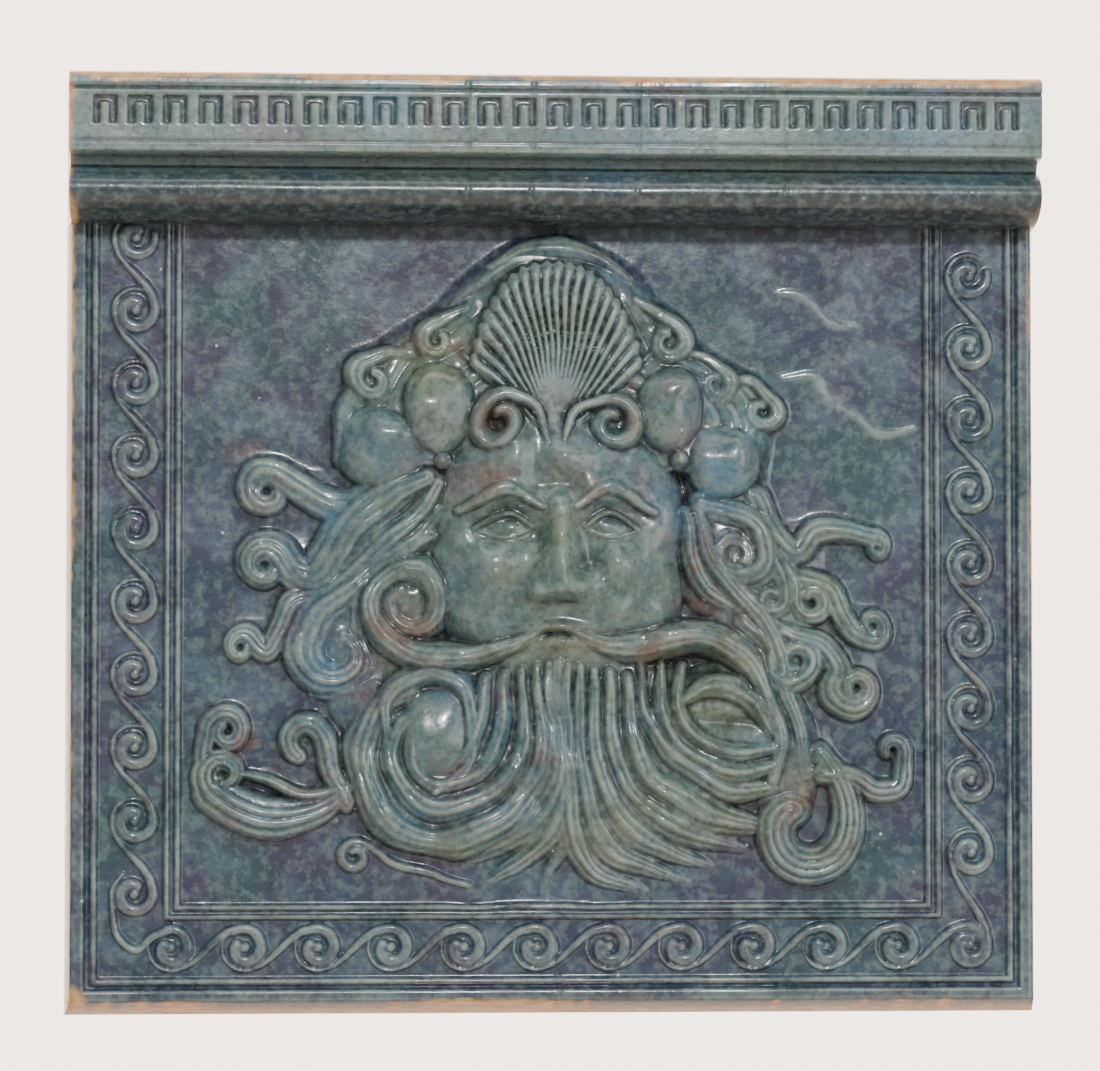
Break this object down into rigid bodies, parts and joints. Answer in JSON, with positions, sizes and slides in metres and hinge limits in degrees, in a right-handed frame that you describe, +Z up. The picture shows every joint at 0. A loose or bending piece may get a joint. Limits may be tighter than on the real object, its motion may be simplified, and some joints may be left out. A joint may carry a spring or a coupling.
{
  "type": "decorative relief tile",
  "caption": "Square moulded wall tile with a bearded sea god mask in relief, scroll borders and a projecting cornice.",
  "frame": {"origin": "centre of the flat back face, which rests on the wall", "axes": "+Z up, +X to the viewer's right, and +Y into the wall, so the carved front faces -Y"},
  "size_m": [0.456, 0.062, 0.436],
  "materials": {
    "glaze": "mottled blue-green glaze over buff clay, glossy, worn thin on the high points"
  },
  "bodies": {
    "root": {"relief_tile": "glaze"}
  },
  "joints": []
}
